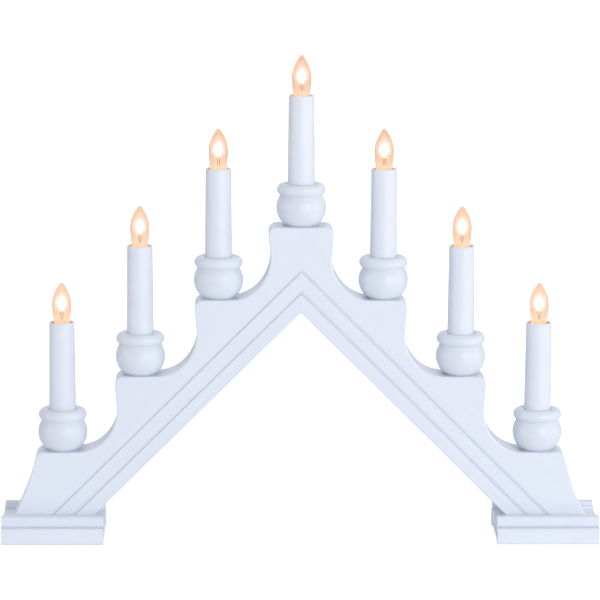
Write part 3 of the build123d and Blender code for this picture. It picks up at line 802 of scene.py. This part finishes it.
def cap_meshes(length, radius):
    """Contact, insulator, threaded barrel and collar, with the top of the cap at height 0."""
    base = -length
    cone = base + CONTACT_HEIGHT
    shoulder = cone + INSULATOR_HEIGHT
    collar = -COLLAR_HEIGHT
    root = radius - THREAD_DEPTH
    tip = [(CONTACT_RADIUS * across, base + CONTACT_HEIGHT * up) for across, up in CONTACT_SHARES]
    waist = (root * INSULATOR_WAIST[0], cone + INSULATOR_HEIGHT * INSULATOR_WAIST[1])
    body = [(0.0, cone), (INSULATOR_RADIUS, cone), waist, (root, shoulder), (0.0, shoulder)]
    inside = COLLAR_RADIUS - CAP_WALL
    ring = [
        (COLLAR_RADIUS - COLLAR_FOOT_INSET, collar),
        (COLLAR_RADIUS, collar + COLLAR_FOOT_RISE),
        (COLLAR_RADIUS, -COLLAR_LIP),
        (COLLAR_RADIUS - COLLAR_LIP, 0.0),
        (inside, -COLLAR_LIP),
        (inside, collar)]
    threaded = collar - shoulder
    barrel = thread_tree().grow(
        "barrel", Radius=radius - THREAD_DEPTH / 2.0, Thread_Depth=THREAD_DEPTH, Length=threaded)
    barrel.transform(Matrix.Translation((0.0, 0.0, shoulder + threaded / 2.0)))
    return {
        "contact": turned("contact", smooth_line(tip, CONTACT_STEPS) + [(0.0, cone)], CONTACT_AROUND),
        "insulator": turned("insulator", body, INSULATOR_AROUND),
        "barrel": barrel,
        "collar": turned("collar", ring, COLLAR_AROUND),
    }


# The glass stem: its flare at the foot, as shares of the flare's radius and of the neck's length, and then
# its radius at shares of its height
STEM_HEIGHT = 6.5 * MM
STEM_CLEARANCE = 0.05 * MM
STEM_FLARE = (0.5, 0.6)
STEM_SHAPE = [(0.9 * MM, 0.0), (0.85 * MM, 0.7), (1.15 * MM, 0.88), (0.8 * MM, 1.0), (0.0, 1.04)]
STEM_STEPS = 5
STEM_AROUND = 32

# The two support wires, from their feet in the stem up to the filament
LEAD_RADIUS = 0.22 * MM
LEAD_HEIGHT = 11.0 * MM
LEAD_FOOT_SPREAD = 0.5 * MM
LEAD_FOOT_DEPTH = 1.5 * MM
LEAD_FOOT_LENGTH = 2.2 * MM
LEAD_BEND = 1.2 * MM
LEAD_GRIP = 0.5 * MM
LEAD_RESOLUTION = 2

# The coiled filament, drawn as a helix round a hairpin
COIL_SPREAD = 1.0 * MM
COIL_HEIGHT = 21.0 * MM
COIL_PINCH = 0.35
COIL_CROWN = 0.7
COIL_RADIUS = 0.3 * MM
COIL_WIRE = 0.09 * MM
COIL_TURNS = 54
COIL_STEPS = 10
COIL_RESOLUTION = 1


def hairpin(share):
    """Centre line of the filament: up, round a narrow bend and down again."""
    turn = math.pi * share
    x = -COIL_SPREAD * math.cos(turn) * (1.0 - COIL_PINCH * math.sin(turn))
    return Vector((x, 0.0, LEAD_HEIGHT + (COIL_HEIGHT - LEAD_HEIGHT) * math.sin(turn) ** COIL_CROWN))


def coil_points():
    """Helix wound round the hairpin."""
    points = []
    total = COIL_TURNS * COIL_STEPS
    step = 1.0 / total
    sideways = Vector((0.0, 1.0, 0.0))
    for index in range(total + 1):
        share = min(max(index * step, step), 1.0 - step)
        ahead = (hairpin(min(share + step, 1.0)) - hairpin(max(share - step, 0.0))).normalized()
        across = ahead.cross(sideways)
        angle = math.tau * index / COIL_STEPS
        offset = across * math.cos(angle) + sideways * math.sin(angle)
        points.append(hairpin(index * step) + offset * COIL_RADIUS)
    return points


def lead_points(side):
    """Support wire from the stem's pinch out to one end of the filament."""
    foot = Vector((side * LEAD_FOOT_SPREAD, 0.0, STEM_HEIGHT - LEAD_FOOT_DEPTH))
    return [
        foot,
        foot + Vector((0.0, 0.0, LEAD_FOOT_LENGTH)),
        Vector((side * COIL_SPREAD, 0.0, LEAD_HEIGHT - LEAD_BEND)),
        Vector((side * COIL_SPREAD, 0.0, LEAD_HEIGHT + LEAD_GRIP))]


def mount_meshes(neck_length, glass_radius):
    """Stem, support wires and filament inside the glass, with the top of the cap at height 0."""
    flare = glass_radius * NECK_SHARE - GLASS_WALL - STEM_CLEARANCE
    outline = [(flare, -neck_length), (flare * STEM_FLARE[0], -neck_length * STEM_FLARE[1])]
    outline += [(radius, STEM_HEIGHT * up) for radius, up in STEM_SHAPE]
    return {
        "stem": turned("stem", smooth_line(outline, STEM_STEPS) + [(0.0, -neck_length)], STEM_AROUND),
        "lead_left": tube_along("lead", lead_points(-1.0), LEAD_RADIUS, LEAD_RESOLUTION),
        "lead_right": tube_along("lead", lead_points(1.0), LEAD_RADIUS, LEAD_RESOLUTION),
        "filament": tube_along("coil", coil_points(), COIL_WIRE, COIL_RESOLUTION),
    }


# Each piece of a bulb, with its material, the record's slot and the CAD node that it stands for
BULB_PIECES = {
    "glass": ("glass", "bulb_glass", "bulb_glass"),
    "contact": ("brass", "brass", "bulb_cap"),
    "insulator": ("insulator", "brass", "bulb_cap"),
    "barrel": ("nickel", "brass", "bulb_cap"),
    "collar": ("nickel", "brass", "bulb_cap"),
    "stem": ("glass", "mount_metal", "bulb_filament"),
    "lead_left": ("support", "mount_metal", "bulb_filament"),
    "lead_right": ("support", "mount_metal", "bulb_filament"),
    "filament": ("filament", "mount_metal", "bulb_filament"),
}


def bulbs():
    """Seven bulbs from one set of meshes, each on its own body."""
    glass_low, glass_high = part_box("bulb_glass_1")
    cap_low, cap_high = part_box("bulb_cap_1")
    neck_length = cap_high[2] - glass_low[2]
    glass_length = glass_high[2] - cap_high[2]
    glass_radius = (glass_high[1] - glass_low[1]) / 2.0
    cap_length = cap_high[2] - cap_low[2]
    cap_radius = (cap_high[1] - cap_low[1]) / 2.0
    meshes = {
        "glass": glass_mesh(neck_length, glass_length, glass_radius),
        **cap_meshes(cap_length, cap_radius),
        **mount_meshes(neck_length, glass_radius),
    }
    for number in CANDLES:
        low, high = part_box(f"bulb_cap_{number}")
        cap_top = Vector(((low[0] + high[0]) / 2.0, (low[1] + high[1]) / 2.0, high[2]))
        for part, mesh in meshes.items():
            material, slot, node = BULB_PIECES[part]
            name = f"bulb_{number}_{part}"
            piece = add_piece(name, moved_copy(mesh, name, cap_top), f"bulb_{number}", material)
            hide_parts(f"{node}_{number}")


bulbs()


# Corners nearer than this are one corner
SAME_CORNER = 0.001 * MM


def islands(node):
    """Low and high corners of each separate solid in a CAD node, from left to right."""
    shape = bmesh.new()
    shape.from_mesh(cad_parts[node].data)
    bmesh.ops.remove_doubles(shape, verts=shape.verts, dist=SAME_CORNER)
    waiting = set(shape.verts)
    boxes = []
    while waiting:
        found = [waiting.pop()]
        for vert in found:
            for edge in vert.link_edges:
                other = edge.other_vert(vert)
                if other in waiting:
                    waiting.remove(other)
                    found.append(other)
        low = Vector([min(vert.co[axis] for vert in found) for axis in range(3)])
        high = Vector([max(vert.co[axis] for vert in found) for axis in range(3)])
        boxes.append((low, high))
    shape.free()
    return sorted(boxes, key=lambda box: (box[0] + box[1]).x)


# The foot screws. The recess's shares are of the head's radius, and so are the widths of its sloping walls.
SCREW_HEAD_HEIGHT = 2.8 * MM
SCREW_HEAD_RIM = 0.1 * MM
SCREW_FACE_SHARE = 0.97
SCREW_FACE_STEPS = 24
SCREW_FACE_DEPTH = 0.05 * MM
SCREW_SHANK_SHARE = 0.5
SCREW_TIP = 4.0 * MM
SCREW_AROUND = 96
RECESS_DEPTH = 1.6 * MM
RECESS_REACH_SHARE = 0.62
RECESS_END_WALL = 0.15
RECESS_WIDTH_SHARE = 0.13
RECESS_SIDE_WALL = 0.04


def recess_depth(x, y, radius):
    """Depth of the cross recess at a point of the screw's head."""
    along = max(abs(x), abs(y)) / radius
    across = min(abs(x), abs(y)) / radius
    ends = min(max((RECESS_REACH_SHARE - along) / RECESS_END_WALL, 0.0), 1.0)
    sides = min(max((RECESS_WIDTH_SHARE - across) / RECESS_SIDE_WALL, 0.0), 1.0)
    return RECESS_DEPTH * ends * sides


def screw_mesh(radius, length):
    """Countersunk wood screw that points up, with a cross recess in its head and a tapered tip."""
    shank = radius * SCREW_SHANK_SHARE
    face = []
    for step in range(SCREW_FACE_STEPS + 1):
        face.append((radius * SCREW_FACE_SHARE * step / SCREW_FACE_STEPS, 0.0))
    side = [
        (radius, SCREW_HEAD_RIM), (shank, SCREW_HEAD_HEIGHT),
        (shank, length - SCREW_TIP), (0.0, length)]
    mesh = turned("screw", face + side, SCREW_AROUND)
    for vert in mesh.vertices:
        if vert.co.z < SCREW_FACE_DEPTH:
            vert.co.z += recess_depth(vert.co.x, vert.co.y, radius)
    return mesh


PIN_HEAD_HEIGHT = 0.6 * MM
PIN_HEAD_BEVEL = 0.8
PIN_HEAD_AROUND = 32
PIN_SHANK_SHARE = 0.4
PIN_SHANK_AROUND = 16
PIN_POINT_RADIUS = 0.1 * MM
TURN_INTO_BACK = (-math.pi / 2.0, 0.0, 0.0)


def pin_tree():
    """Flat pin with a bevelled head at each given point, driven in along -Y."""
    tree = GeometryTree("flat_pins", [
        ("Points", "NodeSocketGeometry", None),
        ("Head Radius", "NodeSocketFloat", 1.5 * MM),
        ("Head Height", "NodeSocketFloat", 0.6 * MM),
        ("Shank Radius", "NodeSocketFloat", 0.6 * MM),
        ("Length", "NodeSocketFloat", 9.0 * MM)])
    given = tree.given
    rim = tree.math("MULTIPLY", given["Head Radius"], PIN_HEAD_BEVEL)
    head = tree.add("GeometryNodeMeshCone", {
        "Vertices": PIN_HEAD_AROUND, "Radius Top": rim, "Radius Bottom": given["Head Radius"],
        "Depth": given["Head Height"]}).outputs["Mesh"]
    shank = tree.add("GeometryNodeMeshCone", {
        "Vertices": PIN_SHANK_AROUND, "Radius Top": given["Shank Radius"],
        "Radius Bottom": PIN_POINT_RADIUS, "Depth": given["Length"]}).outputs["Mesh"]
    drop = tree.add("ShaderNodeCombineXYZ", {"Z": tree.math("MULTIPLY", given["Length"], -1.0)})
    lowered = {"Geometry": shank, "Translation": drop.outputs["Vector"]}
    shank = tree.add("GeometryNodeTransform", lowered).outputs["Geometry"]
    joined = tree.add("GeometryNodeJoinGeometry")
    tree.feed(joined.inputs["Geometry"], head)
    tree.feed(joined.inputs["Geometry"], shank)
    turned_back = {"Geometry": joined.outputs["Geometry"], "Rotation": TURN_INTO_BACK}
    laid = tree.add("GeometryNodeTransform", turned_back).outputs["Geometry"]
    placed = tree.add("GeometryNodeInstanceOnPoints", {"Points": given["Points"], "Instance": laid})
    tree.end(placed.outputs["Instances"], MATERIALS["steel"])
    return tree


def foot_screws():
    """Screws under the feet, where the CAD has plain ones."""
    screws = []
    for number, (low, high) in enumerate(islands("foot_screws"), 1):
        middle = (low + high) / 2.0
        mesh = screw_mesh((high.x - low.x) / 2.0, high.z - low.z)
        mesh.transform(Matrix.Translation((middle.x, middle.y, low.z)))
        screws.append(add_piece(f"foot_screw_{number}", mesh, "arch", "steel"))
    for screw in screws:
        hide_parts("foot_screws")


def strip_pins():
    """Pins of the cover strips in the back, where the CAD has plain ones."""
    boxes = islands("strip_pins")
    first_low, first_high = boxes[0]
    radius = (first_high.x - first_low.x) / 2.0
    depth = first_high.y - first_low.y - PIN_HEAD_HEIGHT
    heads = []
    for low, high in boxes:
        heads.append(((low.x + high.x) / 2.0, high.y - PIN_HEAD_HEIGHT, (low.z + high.z) / 2.0))
    places = bpy.data.meshes.new("pin_places")
    places.from_pydata(heads, [], [])
    mesh = pin_tree().grow(
        "strip_pin_row", start=places, Head_Radius=radius, Head_Height=PIN_HEAD_HEIGHT,
        Shank_Radius=radius * PIN_SHANK_SHARE, Length=depth)
    pins = add_piece("strip_pin_row", mesh, "arch", "steel")
    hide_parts("strip_pins")


foot_screws()
strip_pins()


def camera():
    """The photograph's camera, turned a little about its own axis."""
    data = bpy.data.cameras.new("photo_camera")
    data.sensor_width = SENSOR_WIDTH
    data.lens = CAMERA_LENS
    data.clip_end = CAMERA_REACH
    seen = bpy.data.objects.new("photo_camera", data)
    bpy.context.collection.objects.link(seen)
    back = (CAMERA_PLACE - CAMERA_TARGET).normalized()
    right = Vector((0.0, 0.0, 1.0)).cross(back).normalized()
    up = back.cross(right)
    rolled_right = right * math.cos(CAMERA_ROLL) + up * math.sin(CAMERA_ROLL)
    rolled_up = up * math.cos(CAMERA_ROLL) - right * math.sin(CAMERA_ROLL)
    turn = Matrix((rolled_right, rolled_up, back)).transposed().to_4x4()
    seen.matrix_world = Matrix.Translation(CAMERA_PLACE) @ turn
    bpy.context.scene.camera = seen


# The studio, in metres and watts: name, place, width and height, and power of each soft card
LIT_PLACE = Vector((0.0, 0.0, 0.17))
SOFT_CARDS = [
    ("front_card", Vector((1.5, -2.85, 0.75)), (1.6, 1.4), 45.5),
    ("left_card", Vector((-2.2, -0.8, 0.5)), (1.2, 1.2), 8.5),
    ("right_card", Vector((2.2, -0.4, 0.5)), (1.2, 1.2), 8.0),
    ("top_card", Vector((0.0, 0.3, 2.2)), (1.2, 1.2), 9.0),
]
WHITE = (1.0, 1.0, 1.0, 1.0)
WORLD_FILL = 0.42
WORLD_TINT = (0.95, 0.97, 1.0)
FLOOR_REACH = 6.0
FLOOR_GREY = (0.95, 0.95, 0.95, 1.0)
FLOOR_ROUGHNESS = 0.9

# How much the floor is lifted towards white where the camera sees it
FLOOR_LIFT = 0.66


def soft_card(name, place, size, power):
    """Area lamp that faces the middle of the arch."""
    data = bpy.data.lights.new(name, "AREA")
    data.shape = "RECTANGLE"
    data.size, data.size_y = size
    data.energy = power
    lamp = bpy.data.objects.new(name, data)
    bpy.context.collection.objects.link(lamp)
    lamp.location = place
    lamp.rotation_euler = (LIT_PLACE - place).to_track_quat("-Z", "Y").to_euler()


def world_light():
    """White to the camera, through glass and in reflections, and a soft cool fill for everything else."""
    world = bpy.data.worlds.new("studio")
    bpy.context.scene.world = world
    world.use_nodes = True
    world.node_tree.nodes.clear()
    tree = Tree(world.node_tree)
    rays = tree.add("ShaderNodeLightPath").outputs
    seen = tree.math("MAXIMUM", rays["Is Camera Ray"], rays["Is Transmission Ray"])
    seen = tree.math("MAXIMUM", seen, rays["Is Glossy Ray"])
    level = tree.spread(seen, 0.0, 1.0, WORLD_FILL, 1.0)
    tint = tree.blend(seen, linear(WORLD_TINT), WHITE)
    background = tree.add("ShaderNodeBackground", {"Color": tint, "Strength": level})
    tree.add("ShaderNodeOutputWorld", {"Surface": background.outputs["Background"]})


def studio_floor():
    """Plain floor under the object, nearly white to the camera. It keeps the object's shadow."""
    mesh = bpy.data.meshes.new("studio_floor")
    corners = [
        (-FLOOR_REACH, -FLOOR_REACH, 0.0), (FLOOR_REACH, -FLOOR_REACH, 0.0),
        (FLOOR_REACH, FLOOR_REACH, 0.0), (-FLOOR_REACH, FLOOR_REACH, 0.0)]
    mesh.from_pydata(corners, [], [(0, 1, 2, 3)])
    floor = bpy.data.objects.new("studio_floor", mesh)
    bpy.context.collection.objects.link(floor)
    material, tree, shader = new_material("floor_card", WHITE)
    shader.inputs["Base Color"].default_value = FLOOR_GREY
    shader.inputs["Roughness"].default_value = FLOOR_ROUGHNESS
    shader.inputs["Emission Color"].default_value = WHITE
    seen = tree.add("ShaderNodeLightPath").outputs["Is Camera Ray"]
    tree.feed(shader.inputs["Emission Strength"], tree.spread(seen, 0.0, 1.0, 0.0, FLOOR_LIFT))
    mesh.materials.append(material)


camera()
world_light()
studio_floor()
for card in SOFT_CARDS:
    soft_card(*card)

scene = bpy.context.scene
scene.view_settings.view_transform = "Standard"
